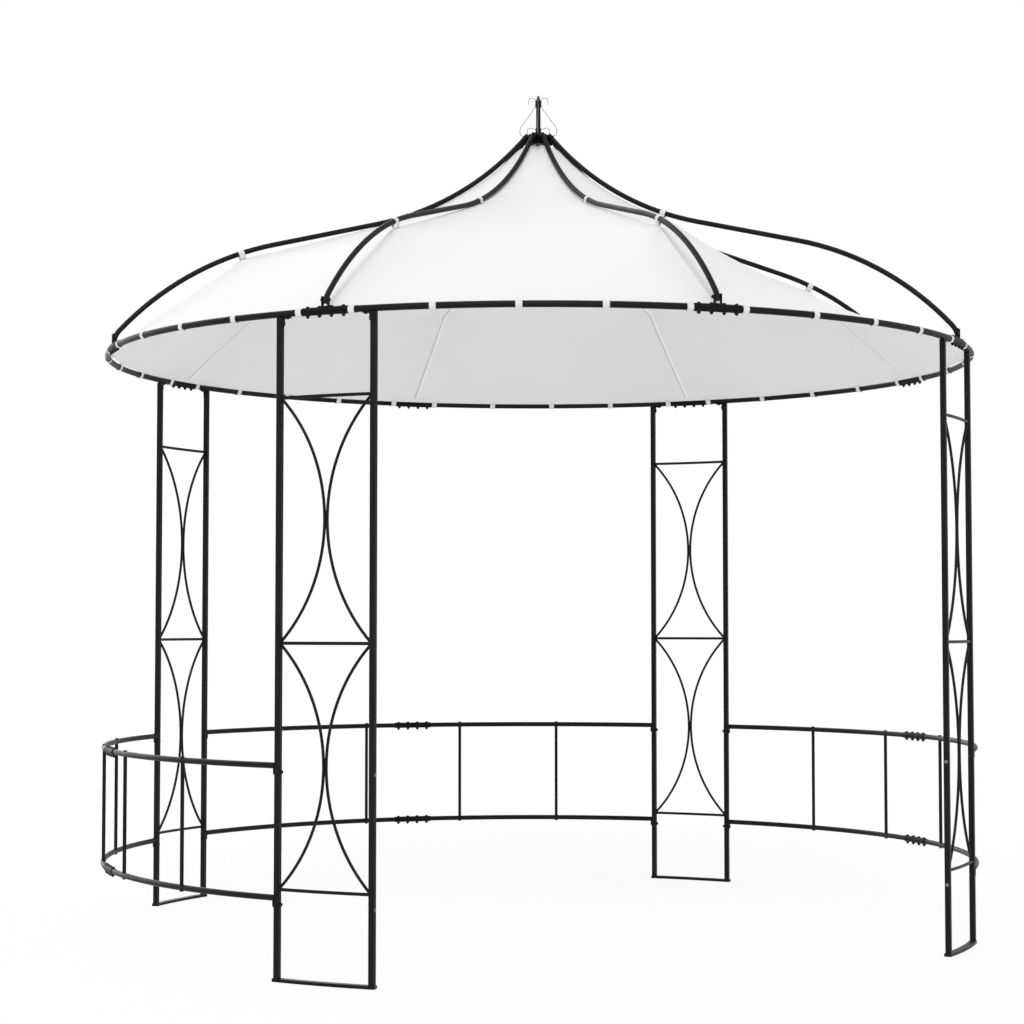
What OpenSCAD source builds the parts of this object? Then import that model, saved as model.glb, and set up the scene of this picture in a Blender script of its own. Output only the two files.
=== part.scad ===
// Round garden gazebo: a bolted steel-tube frame with a hung fabric canopy.
// Millimetres, +Z up. The origin is on the floor at the centre of the ring, and
// the open bay, the entrance, faces -Y. Angles are in degrees from +X.

/* [Overall] */
// Height from the floor to the tip of the finial
total_h = 2900; // [2850:10:3000]
// Diameter over the sleeves of the eaves ring
total_d = 3000; // [2900:20:3100]

/* [Eaves ring] */
// Diameter of the ring tube
ring_tube_d = 20; // [17:1:22]
// Wall of a ring sleeve
ring_sleeve_wall = 1.8; // [1.5:0.1:2.5]
// Length of a ring sleeve along its centreline
ring_sleeve_len = 150; // [130:5:160]
// Clearance between a tube and its sleeve
sleeve_play = 0.2; // [0.15:0.05:0.3]
// Gap between two tube ends inside a sleeve
butt_gap = 1; // [0.5:0.5:3]

/* [Rib feet] */
// Thickness of an ear of the rib bracket
ear_t = 2; // [1.5:0.5:4]
// Height of the ears above the sleeve
ear_h = 30; // [26:1:36]
// Width of an ear, in the rib's own plane
ear_w = 13; // [12:1:20]
// Clearance between a rib and each ear
ear_play = 0.4; // [0.3:0.1:0.6]
// Height of a rib's end above the top of its sleeve
rib_foot_gap = 11; // [6:1:14]

/* [Ribs] */
// Diameter of a rib tube
rib_d = 17; // [14:1:18]
// Heading of a rib as it leaves its bracket, above the horizontal
rib_foot_angle = 75; // [70:1:85]
// Radius of the bend just above the bracket
rib_foot_bend = 80; // [70:5:110]
// Heading of a rib where the long arch starts
rib_arch_angle = 48; // [45:1:52]
// Radius of the long arch
rib_arch_r = 1045; // [1000:5:1080]
// Slope of the straight stretch over the shoulder
rib_slope = 14.3; // [13:0.1:16]
// Radius of the upward sweep to the hub
rib_sweep_r = 1060; // [1000:10:1100]
// Heading of a rib where it meets the hub
rib_top_angle = 48; // [44:1:52]
// Length of the straight top end
rib_tail = 42; // [34:1:50]

/* [Hub and finial] */
// Radius at which the ribs end
hub_reach = 41; // [40:1:46]
// Radius of the hub drum
hub_r = 30; // [28:0.5:31]
// Height of the hub drum
hub_h = 30; // [24:1:34]
// Diameter of the plate on the drum
hub_plate_d = 46; // [40:1:56]
// Thickness of that plate
hub_plate_t = 10; // [3:0.5:12]
// Height of the finial above that plate
finial_h = 134; // [125:1:160]
// Diameter of the finial rod
finial_rod_d = 16; // [12:1:18]
// Length of the pointed tip
finial_tip_len = 17; // [12:1:22]
// Diameter of the two collars on the rod
finial_collar_d = 20; // [18:1:24]
// Diameter of the scroll wire
scroll_wire_d = 2; // [1.5:0.5:5]
// Number of wire scrolls
scroll_count = 4; // [2:1:8]

/* [Post panels] */
// Distance between the centrelines of a panel's two uprights
panel_w = 314; // [300:2:314]
// Side of the square tube of the uprights
post_tube = 18; // [14:1:20]
// Corner radius of the square tube
post_corner_r = 3; // [2:0.5:4]
// Height of the joint between a panel's lower and upper half
post_split_h = 994; // [990:1:1010]
// Distance of the top rung below the eaves ring's centreline
top_rung_drop = 248; // [200:2:290]
// Height of the middle rung
mid_rung_h = 980; // [970:1:982]
// Height of the low rung
low_rung_h = 266; // [240:2:290]
// Diameter of a rung
rung_d = 10; // [8:0.5:12]
// Diameter of an ornamental arc
arc_d = 9; // [6:0.5:10]
// Thickness of the flat bar under a panel's feet
sill_t = 10; // [8:1:14]
// How far that bar stands out past the uprights
sill_lip = 2; // [1.5:0.5:3]

/* [Corner brackets] */
// Length of a bracket's legs
bracket_leg = 26; // [22:1:30]
// Width of a bracket
bracket_w = 14; // [12:1:16]
// Thickness of a bracket
bracket_t = 3; // [2:0.5:4]

/* [Rails] */
// Diameter of the rail tube
rail_d = 18; // [14:1:20]
// Wall of a rail sleeve
rail_sleeve_wall = 1.8; // [1.5:0.1:2.5]
// Length of a rail sleeve along its centreline
rail_sleeve_len = 150; // [120:5:170]
// Height of the top rail's centreline
rail_top_h = 624; // [590:2:660]
// Height of the bottom rail's centreline
rail_low_h = 241; // [200:2:250]
// Diameter of a baluster
baluster_d = 12; // [8:0.5:14]
// How far a baluster's ends stand out of the rails
baluster_nib = 3; // [1:0.5:5]
// Balusters in one bay
balusters_per_bay = 4; // [2:2:8]
// Length of the bolting tab at a rail's end, below the rail's centreline
tab_drop = 28; // [22:1:34]
// Thickness of that tab
tab_t = 3; // [2:0.5:4]
// Clearance between a tab and its upright
tab_play = 0.3; // [0.2:0.1:0.5]

/* [Canopy] */
// Thickness of the canopy solid
canopy_t = 5; // [4:0.5:6]
// Clearance between the canopy and the frame
canopy_play = 1; // [0.5:0.1:2]
// Radius at which the straps hold the canopy's seams below the ribs' shoulders
shoulder_r = 1065; // [1020:5:1100]
// Radius of the second straps
upper_strap_r = 472; // [440:4:500]
// How far the cloth hangs below a rib's underside at the shoulder
shoulder_drop = 16; // [10:1:24]
// How far the cloth dips between two ribs
gore_sag = 34; // [20:2:50]
// Height of the cloth's edge above the ring's centreline
hem_rise = 9; // [0:0.5:10]
// Number of the one seam, and rib, without a shoulder strap
slack_seam = 8; // [1:1:8]
// How far that seam hangs below the straight line from the hem to its upper strap
slack_sag = 57; // [40:1:70]
// Radius of the opening at the canopy's top
canopy_top_r = 24; // [20:1:27]

/* [Straps] */
// Width of a strap
strap_w = 20; // [16:1:26]
// Thickness of a strap
strap_t = 1.5; // [1:0.25:2.5]
// Straps along one eighth of the ring
straps_per_eighth = 5; // [3:1:7]
// Clearance between a strap and its tube
strap_play = 0.3; // [0.2:0.1:0.5]
// Gap between the end of a sleeve and the first strap
strap_sleeve_gap = 3; // [1:1:8]

/* [Hidden] */
steel = [0.17, 0.17, 0.18];
sleeve_steel = [0.13, 0.13, 0.14];
cloth = [0.95, 0.95, 0.94];
webbing = [0.88, 0.88, 0.92];
eighth = 45;
ring_sleeve_d = ring_tube_d + 2 * (sleeve_play + ring_sleeve_wall);
rail_sleeve_d = rail_d + 2 * (sleeve_play + rail_sleeve_wall);
ring_r = total_d / 2 - ring_sleeve_d / 2;
butt_half_angle = butt_gap / 2 / ring_r * 180 / PI;
$fn = 48;

// The plane of a post panel, and where its uprights stand on the ring's circle.
panel_half = panel_w / 2;
panel_plane_r = sqrt(pow(ring_r, 2) - pow(panel_half, 2));
panel_half_angle = asin(panel_half / ring_r);
panel_angles = [-135, -45, 45, 135];
panel_names = ["front_left", "front_right", "rear_right", "rear_left"];

// The bays with rails, by the angle of their middles.
bay_angles = [0, 90, 180];
bay_names = ["right", "rear", "left"];
rail_end_angle = eighth - atan((panel_half + post_tube / 2 + tab_play) / panel_plane_r);
baluster_step = 2 * rail_end_angle / (balusters_per_bay + 1);

// A rib's route in its own upright plane: start point, start heading and moves.
// A move is [radius, turn] for a bend, anticlockwise positive, or [length, 0].
rib_heading = 180 - rib_foot_angle;
rib_bends = [
    [rib_foot_bend, rib_foot_angle - rib_arch_angle],
    [rib_arch_r, rib_arch_angle - rib_slope],
    [rib_sweep_r, rib_slope - rib_top_angle],
];
rib_bends_travel = travel(rib_bends, rib_heading);
rib_straight_reach = ring_r - hub_reach + rib_bends_travel[0] - rib_tail * cos(rib_top_angle);
rib_straight = rib_straight_reach / cos(rib_slope);
rib_moves = [rib_bends[0], rib_bends[1], [rib_straight, 0], rib_bends[2], [rib_tail, 0]];
rib_rise = travel(rib_moves, rib_heading)[1];

// The heights follow from the total height down: finial, hub, ribs, ring, posts.
finial_foot = total_h - finial_h;
hub_top = finial_foot - hub_plate_t;
rib_start = [ring_r, hub_top - rib_rise];
rib_points = route_points(rib_start, rib_heading, rib_moves);
ring_h = rib_start[1] - rib_foot_gap - ring_sleeve_d / 2;
ring_under = ring_h - ring_tube_d / 2;
top_rung_h = ring_h - top_rung_drop;

// The weld ring at each joint of a bent bar.
weld_rise = 0.2;
weld_w = 2;
weld_gap = 0.2;
// How far joined solids run into each other, and cuts past a face.
overrun = 1;

// The collars of the finial, and its scroll wires: a hook over the rod's side, a long
// stem down and outwards, and a curl back in to the rod above the hub's plate.
finial_collar_h = 19;
tip_collar_h = 24;
tip_point_d = 7;
scroll_start = [34, total_h - 32];
scroll_lean = 36;
scroll_turn = 67.5;
scroll_hook = [[13, 0], [12, 180], [8, 0], [40, scroll_lean]];
scroll_dip = 15;
scroll_curl = [[30, -scroll_lean], [5, 0], [13, -180], [6, 0], [10, 90 + scroll_dip]];
scroll_ends_h = 77;
scroll_stem = (finial_h - scroll_ends_h) / cos(scroll_lean);
scroll_bends = concat(scroll_hook, [[scroll_stem, 0]], scroll_curl);
scroll_end = scroll_start[0] + travel(scroll_bends, 90)[0];
scroll_inward = (scroll_end - finial_rod_d / 4) / cos(scroll_dip);
scroll_moves = concat(scroll_bends, [[scroll_inward, 0]]);

// The canopy's corners of stretched cloth, and the points across one gore.
gore_cols = 8;
gore_rows = [5, 5, 10];
// A gore flattens from the hem to the shoulder by this power of the distance.
flatten_power = 0.7;
cloth_gap = canopy_play + strap_t + strap_play;
// The edge's lower corner clears the straps round the ring by canopy_play.
hem_lower_rise = max(0, hem_rise - canopy_t);
hem_r = ring_r - sqrt(pow(ring_tube_d / 2 + cloth_gap, 2) - pow(hem_lower_rise, 2));
hem_h = ring_h + hem_rise;
shoulder_h = rib_height(shoulder_r) - rib_d / 2 - shoulder_drop;
upper_h = under_rib(upper_strap_r);

// ---- routes of bent bars ----

function unit(a) = [cos(a), sin(a)];
function turn_side(move) = move[1] < 0 ? -90 : 90;
function bend_centre(p, a, move) = p + move[0] * unit(a + turn_side(move));
function move_end(p, a, move) = move[1] == 0
    ? p + move[0] * unit(a)
    : bend_centre(p, a, move) - move[0] * unit(a + move[1] + turn_side(move));
function route_points(p, a, moves, i = 0) = i == len(moves)
    ? [p]
    : concat([p], route_points(move_end(p, a, moves[i]), a + moves[i][1], moves, i + 1));
function travel(moves, a) = route_points([0, 0], a, moves)[len(moves)];

// A rib's height over a radius, by its own arcs.
function arch_centre() = bend_centre(rib_points[1], 180 - rib_arch_angle, rib_moves[1]);
function sweep_centre() = bend_centre(rib_points[3], 180 - rib_slope, rib_moves[3]);
function circle_height(radius, across) = sqrt(pow(radius, 2) - pow(across, 2));
function rib_height(r) =
    r > rib_points[1][0] ? rib_points[1][1]
    : r > rib_points[2][0] ? arch_centre()[1] + circle_height(rib_arch_r, r - arch_centre()[0])
    : r > rib_points[3][0] ? rib_points[3][1] - (r - rib_points[3][0]) * tan(rib_slope)
    : r > rib_points[4][0] ? sweep_centre()[1] - circle_height(rib_sweep_r, r - sweep_centre()[0])
    : rib_points[4][1] - (r - rib_points[4][0]) * tan(rib_top_angle);

// A rib's slope over a radius.
function rib_tilt(r) =
    r > rib_points[2][0] ? asin((r - arch_centre()[0]) / rib_arch_r)
    : r > rib_points[3][0] ? rib_slope
    : asin((sweep_centre()[0] - r) / rib_sweep_r);

function heading_after(a, moves, i) = i == 0 ? a : heading_after(a, moves, i - 1) + moves[i - 1][1];

// A round bar along a route. A weld ring a hair larger than the bar bridges each joint.
module bent_bar(p, a, moves, d) {
    points = route_points(p, a, moves);
    last = len(moves) - 1;
    for (i = [0:last]) {
        move = moves[i];
        heading = heading_after(a, moves, i);
        from = i > 0 ? weld_gap : 0;
        to = i < last ? weld_gap : 0;
        if (move[1] == 0)
            translate(points[i]) rotate([0, 0, heading]) rotate([0, 90, 0])
                translate([0, 0, from]) cylinder(d = d, h = move[0] - from - to);
        else {
            per_mm = sign(move[1]) / move[0] * 180 / PI;
            translate(bend_centre(points[i], heading, move))
                rotate([0, 0, heading - turn_side(move) + from * per_mm])
                    rotate_extrude(angle = move[1] - (from + to) * per_mm)
                        translate([move[0], 0]) circle(d = d);
        }
    }
    for (i = [1:last]) translate(points[i]) rotate([0, 0, heading_after(a, moves, i)])
        rotate([0, 90, 0]) cylinder(d = d + 2 * weld_rise, h = weld_w, center = true);
}

// ---- shared shapes ----

module upright_plane(a) {
    rotate([0, 0, a]) rotate([90, 0, 0]) children();
}

module ring_arc(r, d, from, to, h) {
    translate([0, 0, h]) rotate([0, 0, from])
        rotate_extrude(angle = to - from) translate([r, 0]) circle(d = d);
}

module sleeve(d, outer_d, len, h) {
    half = len / 2 / ring_r * 180 / PI;
    translate([0, 0, h]) rotate([0, 0, -half]) rotate_extrude(angle = 2 * half) translate([ring_r, 0])
        difference() {
            circle(d = outer_d);
            circle(d = d + 2 * sleeve_play);
        }
}

module rounded_square(side, r) {
    inset = side / 2 - r;
    union() {
        square([side, 2 * inset], center = true);
        square([2 * inset, side], center = true);
        for (x = [-inset, inset], y = [-inset, inset]) translate([x, y]) circle(r = r);
    }
}

// ---- post panels ----

module upright(side, from, to) {
    translate([panel_plane_r, side * panel_half, from])
        linear_extrude(to - from) rounded_square(post_tube, post_corner_r);
}

module rung(h) {
    ring_arc(ring_r, rung_d, -panel_half_angle, panel_half_angle, h);
}

// Two arcs back to back, touching halfway between two rungs.
module arc_pair(low, high) {
    reach_h = (high - low - rung_d) / 2;
    reach_w = panel_half - post_tube / 2 - arc_d / 2;
    radius = (pow(reach_h, 2) + pow(reach_w, 2)) / 2 / reach_w;
    sweep = asin(reach_h / radius);
    translate([panel_plane_r, 0, (low + high) / 2]) rotate([90, 0, 90])
        for (side = [0, 180]) rotate([0, 0, side]) translate([radius + arc_d / 2, 0])
            rotate([0, 0, 180 - sweep])
                rotate_extrude(angle = 2 * sweep) translate([radius, 0]) circle(d = arc_d);
}

module post_panel_lower(i) {
    color(steel) rotate([0, 0, panel_angles[i]]) union() {
        for (side = [-1, 1]) upright(side, sill_t - overrun, post_split_h);
        rung(mid_rung_h);
        rung(low_rung_h);
        arc_pair(low_rung_h, mid_rung_h);
        sill();
    }
}

// The flat bar that carries the feet of both uprights, bent to the ring's radius.
module sill() {
    half_w = post_tube / 2 + sill_lip;
    reach = asin((panel_half + half_w) / ring_r);
    rotate([0, 0, -reach]) rotate_extrude(angle = 2 * reach)
        translate([ring_r - half_w, 0]) square([2 * half_w, sill_t]);
}

module post_panel_upper(i) {
    color(steel) rotate([0, 0, panel_angles[i]]) union() {
        for (side = [-1, 1]) upright(side, post_split_h, ring_under);
        rung(top_rung_h);
        arc_pair(mid_rung_h, top_rung_h);
    }
}

// An L bracket from each upright's inner side to the underside of the ring.
module corner_brackets() {
    inner_side = panel_half - post_tube / 2;
    color(sleeve_steel) for (a = panel_angles, side = [0, 1]) rotate([0, 0, a]) mirror([0, side, 0])
        translate([panel_plane_r, inner_side, ring_under]) rotate([90, 0, 0]) rotate([0, -90, 0])
            translate([0, 0, -bracket_w / 2]) linear_extrude(bracket_w) polygon([
                [0, 0],
                [bracket_leg, 0],
                [bracket_leg, -bracket_t],
                [2 * bracket_t, -bracket_t],
                [bracket_t, -2 * bracket_t],
                [bracket_t, -bracket_leg],
                [0, -bracket_leg],
            ]);
}

// ---- eaves ring ----

module ring_segment(i) {
    first = i * eighth + butt_half_angle;
    last = (i + 1) * eighth - butt_half_angle;
    color(steel) ring_arc(ring_r, ring_tube_d, first, last, ring_h);
}

module ring_connector(i) {
    ear_gap = rib_d + 2 * ear_play;
    base_w = ear_gap + 2 * ear_t;
    base_h = ring_sleeve_d / 2 - ear_t / 2;
    color(sleeve_steel) rotate([0, 0, i * eighth]) union() {
        sleeve(ring_tube_d, ring_sleeve_d, ring_sleeve_len, ring_h);
        translate([ring_r - ear_w / 2, -base_w / 2, ring_h + base_h]) difference() {
            cube([ear_w, base_w, ear_h + ear_t]);
            translate([-overrun, ear_t, ear_t]) cube([ear_w + 2 * overrun, ear_gap, ear_h + overrun]);
        }
    }
}

// ---- ribs, hub and finial ----

module rib(i) {
    color(steel) upright_plane(i * eighth) union() bent_bar(rib_start, rib_heading, rib_moves, rib_d);
}

module hub() {
    lug_gap = rib_d + 2 * ear_play;
    lug_reach = hub_reach + rib_tail * cos(rib_top_angle) / 2;
    lug_h = hub_h - ear_t;
    color(sleeve_steel) union() {
        translate([0, 0, hub_top - hub_h]) cylinder(r = hub_r, h = hub_h);
        translate([0, 0, hub_top - overrun]) cylinder(d = hub_plate_d, h = hub_plate_t + overrun);
        for (i = [0:7], side = [-1, 1]) rotate([0, 0, i * eighth])
            translate([hub_r / 2, side * (lug_gap + ear_t) / 2 - ear_t / 2, hub_top - lug_h])
                cube([lug_reach - hub_r / 2, ear_t, lug_h]);
    }
}

module finial() {
    rod_top = total_h - finial_tip_len;
    color(steel) union() {
        translate([0, 0, finial_foot]) cylinder(d = finial_rod_d, h = rod_top - finial_foot);
        translate([0, 0, rod_top]) cylinder(d1 = finial_rod_d, d2 = tip_point_d, h = finial_tip_len);
        translate([0, 0, rod_top - tip_collar_h]) cylinder(d = finial_collar_d, h = tip_collar_h);
        translate([0, 0, finial_foot]) cylinder(d = finial_collar_d, h = finial_collar_h);
        for (i = [0:scroll_count - 1]) upright_plane(scroll_turn + i * 360 / scroll_count)
            bent_bar(scroll_start, 90, scroll_moves, scroll_wire_d, $fn = 20);
    }
}

// ---- rails ----

// One half of a bay's railing. Side is -1 or 1, towards lesser or greater angles.
module rail_half(bay, side) {
    first = side < 0 ? -rail_end_angle : butt_half_angle;
    last = side < 0 ? -butt_half_angle : rail_end_angle;
    nib = rail_d / 2 + baluster_nib;
    color(steel) rotate([0, 0, bay_angles[bay]]) union() {
        for (h = [rail_low_h, rail_top_h]) {
            ring_arc(ring_r, rail_d, first, last, h);
            rail_tab(side, h);
        }
        for (i = [0:balusters_per_bay / 2 - 1])
            rotate([0, 0, side * (i + 0.5) * baluster_step]) translate([ring_r, 0, rail_low_h - nib])
                rotate([0, 0, eighth]) cylinder(d = baluster_d, h = rail_top_h - rail_low_h + 2 * nib);
    }
}

// The flat tab at a rail's end, parallel to the side of the upright it is bolted to,
// with a round lower end.
module rail_tab(side, h) {
    face = panel_half + post_tube / 2 + tab_play;
    round_r = post_tube / 2;
    rotate([0, 0, side * eighth]) translate([panel_plane_r, side < 0 ? face + tab_t : -face, h])
        rotate([90, 0, 0]) linear_extrude(tab_t) union() {
            translate([-round_r, round_r - tab_drop])
                square([post_tube, tab_drop - round_r + rail_d / 2]);
            translate([0, round_r - tab_drop]) circle(r = round_r);
        }
}

module rail_connectors() {
    color(sleeve_steel) for (a = bay_angles, h = [rail_low_h, rail_top_h])
        rotate([0, 0, a]) sleeve(rail_d, rail_sleeve_d, rail_sleeve_len, h);
}

// ---- canopy ----

// A seam's height over a radius: a chord up to the shoulder, a chord to the second
// strap, then the underside of the rib, ending under the hub.
function under_rib(r) = rib_height(r) - (rib_d / 2 + cloth_gap) / cos(rib_tilt(r));
function share(r, from, to) = (r - from) / (to - from);
function seam_height(r) =
    r > shoulder_r ? shoulder_h + (hem_h - shoulder_h) * share(r, shoulder_r, hem_r)
    : r > upper_strap_r ? upper_h + (shoulder_h - upper_h) * share(r, upper_strap_r, shoulder_r)
    : min(under_rib(r), hub_top - hub_h - canopy_play);

// The slack seam hangs in one bow from the hem to its upper strap.
function bow(s) = 4 * s * (1 - s);
function slack_height(r) = let (s = share(r, upper_strap_r, hem_r))
    s > 0 ? upper_h + (hem_h - upper_h) * s - slack_sag * bow(s) : seam_height(r);
function height_at(seam, r) = seam % 8 == slack_seam - 1 ? slack_height(r) : seam_height(r);

// How far a gore is drawn flat between its seams: none at the hem, full at the shoulder.
function flatness(r) = r > shoulder_r ? pow((hem_r - r) / (hem_r - shoulder_r), flatten_power) : 1;
function dip(r) = gore_sag * sin(180 * (r - canopy_top_r) / (hem_r - canopy_top_r));

// A point of the canopy: r along the seams, u from -1 to 1 across a gore, and depth.
// Its height goes over from the one seam's to the other's.
function canopy_point(r, gore, u, depth) = let (
    flat = cos(eighth / 2) / cos(eighth / 2 * u),
    reach = r * (1 - flatness(r) * (1 - flat)),
    seams = [height_at(gore, r), height_at(gore + 1, r)],
    height = seams * [1 - u, 1 + u] / 2 - dip(r) * (1 - u * u) - depth,
    angle = eighth * (gore + 0.5 + u / 2)
) [reach * cos(angle), reach * sin(angle), height];

// The seam radii of the canopy's rows of points, with a row at each kink.
function spread(from, to, count) = [for (i = [0:count - 1]) from + (to - from) * i / count];
canopy_rows = concat(
    spread(hem_r, shoulder_r, gore_rows[0]),
    spread(shoulder_r, upper_strap_r, gore_rows[1]),
    spread(upper_strap_r, canopy_top_r, gore_rows[2]),
    [canopy_top_r]
);

module canopy() {
    cols = 8 * gore_cols;
    last = len(canopy_rows) - 1;
    points = [
        for (depth = [0, canopy_t], r = canopy_rows, j = [0:cols - 1])
            canopy_point(r, floor(j / gore_cols), 2 * (j % gore_cols) / gore_cols - 1, depth)
    ];
    function at(i, j, under) = (under * (last + 1) + i) * cols + j % cols;
    // Two triangles from four corners in order.
    function quad(a, b, c, d) = [[a, b, c], [a, c, d]];
    rows = [0:last - 1];
    faces = [
        for (j = [0:cols - 1], k = [j + 1], quads = concat(
            [for (i = rows) quad(at(i, j, 0), at(i + 1, j, 0), at(i + 1, k, 0), at(i, k, 0))],
            [for (i = rows) quad(at(i, j, 1), at(i, k, 1), at(i + 1, k, 1), at(i + 1, j, 1))],
            [quad(at(0, j, 0), at(0, k, 0), at(0, k, 1), at(0, j, 1))],
            [quad(at(last, j, 0), at(last, j, 1), at(last, k, 1), at(last, k, 0))]
        ), triangle = quads) triangle
    ];
    color(cloth) polyhedron(points, faces, convexity = 4);
}

// ---- straps ----

module strap_band(d) {
    rotate([90, 0, 0]) translate([0, 0, -strap_w / 2]) linear_extrude(strap_w) difference() {
        circle(d = d + 2 * (strap_play + strap_t));
        circle(d = d + 2 * strap_play);
    }
}

module ring_straps() {
    first = (ring_sleeve_len / 2 + strap_sleeve_gap + strap_w / 2) / ring_r * 180 / PI;
    step = (eighth - 2 * first) / (straps_per_eighth - 1);
    color(webbing) for (i = [0:7], j = [0:straps_per_eighth - 1])
        rotate([0, 0, i * eighth + first + j * step])
            translate([ring_r, 0, ring_h]) strap_band(ring_tube_d);
}

function rib_strap_radii(i) = i == slack_seam - 1 ? [upper_strap_r] : [shoulder_r, upper_strap_r];

module rib_straps() {
    color(webbing) for (i = [0:7], r = rib_strap_radii(i))
        rotate([0, 0, i * eighth]) translate([r, 0, rib_height(r)]) rotate([0, rib_tilt(r), 0])
            rotate([0, 0, 90]) strap_band(rib_d);
}

for (i = [0:3]) {
    post_panel_lower(i);
    post_panel_upper(i);
}
for (i = [0:7]) {
    ring_segment(i);
    ring_connector(i);
    rib(i);
}
for (bay = [0:2]) {
    rail_half(bay, -1);
    rail_half(bay, 1);
}
rail_connectors();
corner_brackets();
hub();
finial();
canopy();
ring_straps();
rib_straps();
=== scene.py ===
import math

import bpy
import numpy as np
from mathutils import Matrix, Vector


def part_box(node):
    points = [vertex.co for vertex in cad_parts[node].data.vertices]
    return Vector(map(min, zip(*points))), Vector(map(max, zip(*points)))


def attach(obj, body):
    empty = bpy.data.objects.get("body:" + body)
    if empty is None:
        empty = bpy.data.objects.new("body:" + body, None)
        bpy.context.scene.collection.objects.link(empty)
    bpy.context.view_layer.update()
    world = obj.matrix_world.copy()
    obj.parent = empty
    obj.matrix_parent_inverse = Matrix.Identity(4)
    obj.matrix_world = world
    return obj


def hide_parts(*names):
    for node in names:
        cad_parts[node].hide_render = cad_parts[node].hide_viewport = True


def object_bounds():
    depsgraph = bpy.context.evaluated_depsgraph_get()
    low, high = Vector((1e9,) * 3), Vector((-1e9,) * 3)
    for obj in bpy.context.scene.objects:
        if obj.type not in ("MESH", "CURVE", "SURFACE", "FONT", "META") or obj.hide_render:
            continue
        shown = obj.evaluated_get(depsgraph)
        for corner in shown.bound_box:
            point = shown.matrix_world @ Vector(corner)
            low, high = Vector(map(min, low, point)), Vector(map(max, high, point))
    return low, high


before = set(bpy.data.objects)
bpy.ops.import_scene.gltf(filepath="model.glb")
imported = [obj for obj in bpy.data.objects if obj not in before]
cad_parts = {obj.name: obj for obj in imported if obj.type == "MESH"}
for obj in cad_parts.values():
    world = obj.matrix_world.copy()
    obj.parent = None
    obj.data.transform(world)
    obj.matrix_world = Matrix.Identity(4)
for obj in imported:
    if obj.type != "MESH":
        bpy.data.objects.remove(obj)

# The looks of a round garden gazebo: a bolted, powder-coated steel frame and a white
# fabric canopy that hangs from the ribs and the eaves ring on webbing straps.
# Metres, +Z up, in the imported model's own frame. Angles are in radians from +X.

cad_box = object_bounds()
MM = 0.001
TURN = 2 * math.pi
EIGHTH = TURN / 8
rng = np.random.default_rng(7)


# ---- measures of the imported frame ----

def coords(name):
    """The vertices of a CAD node, one row each."""
    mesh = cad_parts[name].data
    flat = np.zeros(3 * len(mesh.vertices))
    mesh.vertices.foreach_get("co", flat)
    return flat.reshape(-1, 3)


def bar_middle(name, point, direction):
    """The middle of a CAD bar, between the faces that two opposite rays meet."""
    near, far = Vector(point) - Vector(direction), Vector(point) + Vector(direction)
    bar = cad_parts[name]
    return (bar.ray_cast(near, far - near)[1] + bar.ray_cast(far, near - far)[1]) / 2


def clusters(values, gap):
    """The middles of the groups of values that lie closer together than gap."""
    values = np.sort(values)
    groups = np.split(values, np.flatnonzero(np.diff(values) > gap) + 1)
    return [float(group[0] + group[-1]) / 2 for group in groups]


DOWN = (0, 0, -1)
UP = (0, 0, 1)
# Points further apart than this belong to different pieces.
PIECE_GAP = 0.1

ring_low, ring_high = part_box("ring_segment_1")
ring_h = (ring_low.z + ring_high.z) / 2
ring_tube = ring_high.z - ring_low.z
sleeve_low, sleeve_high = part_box("ring_connector_1")
ring_sleeve = 2 * (ring_h - sleeve_low.z)
ring_r = sleeve_high.x - ring_sleeve / 2
ear_top = sleeve_high.z
sleeve_points = coords("ring_connector_1")
ear_face = np.abs(sleeve_points[sleeve_points[:, 2] > ear_top - 2 * MM, 1]).max()

rails = coords("rail_connectors")
rail_heights = clusters(rails[:, 2], PIECE_GAP)
rail_sleeve = 2 * (rails[:, 2].max() - rail_heights[1])

# The hub's lugs reach out beyond its plate and drum.
hub_points = coords("hub")
hub_out = np.hypot(hub_points[:, 0], hub_points[:, 1])
lug_top = hub_points[hub_out > hub_out.max() - 5 * MM, 2].max()

# The ribs' centreline over the radius, from rib_1, which lies in the plane y = 0.
WELD_RISE = 0.2 * MM
rib_low, rib_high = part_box("rib_1")
rib_top_r = rib_low.x
rib_d = rib_high.y - rib_low.y - 2 * WELD_RISE
rib_radii = np.linspace(0.06, 1.3, 160)
rib_mids = np.array([bar_middle("rib_1", (r, 0, rib_high.z - 0.3), (0, 0, 2)).z for r in rib_radii])


def rib_height(r):
    return float(np.interp(r, rib_radii, rib_mids))


def rib_slope(r):
    """How steeply a rib falls outwards at a radius, in radians."""
    step = 5 * MM
    return math.atan2(rib_height(r - step) - rib_height(r + step), 2 * step)


# The straps: round the ring by angle, and round the ribs by radius.
strap_points = coords("ring_straps")
strap_angles = clusters(np.arctan2(strap_points[:, 1], strap_points[:, 0]) % TURN, 0.05)
rib_strap_points = coords("rib_straps")
NEAR_RIB = 15 * MM


def rib_strap_radii(index):
    """The radii of the straps on one rib."""
    angle = index * EIGHTH
    along = rib_strap_points @ np.array([math.cos(angle), math.sin(angle), 0])
    aside = rib_strap_points @ np.array([-math.sin(angle), math.cos(angle), 0])
    return clusters(along[(np.abs(aside) < NEAR_RIB) & (along > 0)], PIECE_GAP)


# The canopy's seams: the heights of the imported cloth's upper side over the radius.
canopy_points = coords("canopy")
canopy_r = np.hypot(canopy_points[:, 0], canopy_points[:, 1])
hem_r = canopy_r.max()
top_r = canopy_r.min()
ON_SEAM = 0.2 * MM
ROW_GAP = 0.5 * MM
seam_radii = np.linspace(top_r + ON_SEAM, hem_r - ON_SEAM, 500)


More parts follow.
